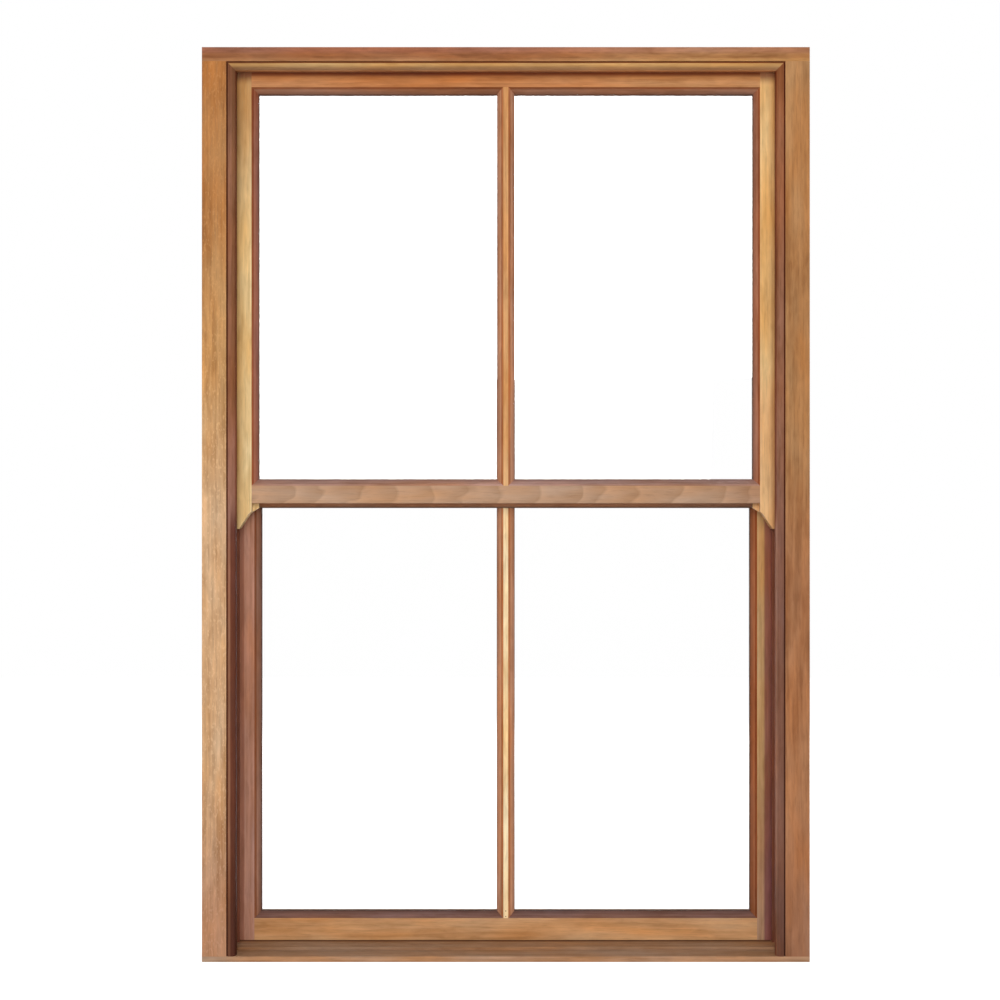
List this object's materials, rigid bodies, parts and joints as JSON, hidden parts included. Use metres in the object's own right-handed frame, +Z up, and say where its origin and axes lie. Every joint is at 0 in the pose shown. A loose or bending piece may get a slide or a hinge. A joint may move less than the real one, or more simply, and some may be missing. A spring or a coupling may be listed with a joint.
{
  "type": "sash window",
  "caption": "Varnished hardwood sash window: an upper and a lower glazed sash slide past each other in a frame with sill, head and jambs, carried by spiral balances.",
  "frame": {"origin": "middle of the footprint, on the underside of the sill", "axes": "+X to the right as seen from outside, +Y from the outside face to the room, +Z up"},
  "size_m": [1, 0.135, 1.505],
  "materials": {
    "frame_timber": "satin varnish",
    "frame_bead_timber": "satin varnish",
    "sash_timber": "satin varnish",
    "glazing_bead_timber": "satin varnish",
    "glass": "clear",
    "balance_tube": "matte",
    "nylon": "matte",
    "zinc_plated_steel": "bright zinc",
    "brass": "polished and lacquered"
  },
  "bodies": {
    "frame": {"balance_bushes": "nylon", "head": "frame_timber", "jamb_left": "frame_timber", "jamb_right": "frame_timber", "lower_balance_tubes": "balance_tube", "outer_bead_head": "frame_bead_timber", "outer_bead_left": "frame_bead_timber", "outer_bead_right": "frame_bead_timber", "parting_bead_head": "frame_bead_timber", "parting_bead_left": "frame_bead_timber", "parting_bead_right": "frame_bead_timber", "sill": "frame_timber", "staff_bead_head": "frame_bead_timber", "staff_bead_left": "frame_bead_timber", "staff_bead_right": "frame_bead_timber", "staff_bead_sill": "frame_bead_timber", "tube_screws": "zinc_plated_steel", "upper_balance_tubes": "balance_tube"},
    "upper_sash": {"upper_balance_brackets": "zinc_plated_steel", "upper_balance_rods": "zinc_plated_steel", "upper_bar": "sash_timber", "upper_bracket_screws": "zinc_plated_steel", "upper_left_bead_bottom": "glazing_bead_timber", "upper_left_bead_left": "glazing_bead_timber", "upper_left_bead_right": "glazing_bead_timber", "upper_left_bead_top": "glazing_bead_timber", "upper_meeting_rail": "sash_timber", "upper_pane_left": "glass", "upper_pane_right": "glass", "upper_right_bead_bottom": "glazing_bead_timber", "upper_right_bead_left": "glazing_bead_timber", "upper_right_bead_right": "glazing_bead_timber", "upper_right_bead_top": "glazing_bead_timber", "upper_setting_blocks": "nylon", "upper_stile_left": "sash_timber", "upper_stile_right": "sash_timber", "upper_top_rail": "sash_timber"},
    "lower_sash": {"lift_screws": "brass", "lower_balance_brackets": "zinc_plated_steel", "lower_balance_rods": "zinc_plated_steel", "lower_bar": "sash_timber", "lower_bottom_rail": "sash_timber", "lower_bracket_screws": "zinc_plated_steel", "lower_left_bead_bottom": "glazing_bead_timber", "lower_left_bead_left": "glazing_bead_timber", "lower_left_bead_right": "glazing_bead_timber", "lower_left_bead_top": "glazing_bead_timber", "lower_meeting_rail": "sash_timber", "lower_pane_left": "glass", "lower_pane_right": "glass", "lower_right_bead_bottom": "glazing_bead_timber", "lower_right_bead_left": "glazing_bead_timber", "lower_right_bead_right": "glazing_bead_timber", "lower_right_bead_top": "glazing_bead_timber", "lower_setting_blocks": "nylon", "lower_stile_left": "sash_timber", "lower_stile_right": "sash_timber", "sash_lift_left": "brass", "sash_lift_right": "brass"}
  },
  "joints": [
    {"name": "upper_sash_slide", "type": "slide", "parent": "frame", "child": "upper_sash", "axis": [0, 0, -1], "range_m": [0, 0.67]},
    {"name": "lower_sash_slide", "type": "slide", "parent": "frame", "child": "lower_sash", "axis": [0, 0, 1], "range_m": [0, 0.67]}
  ]
}
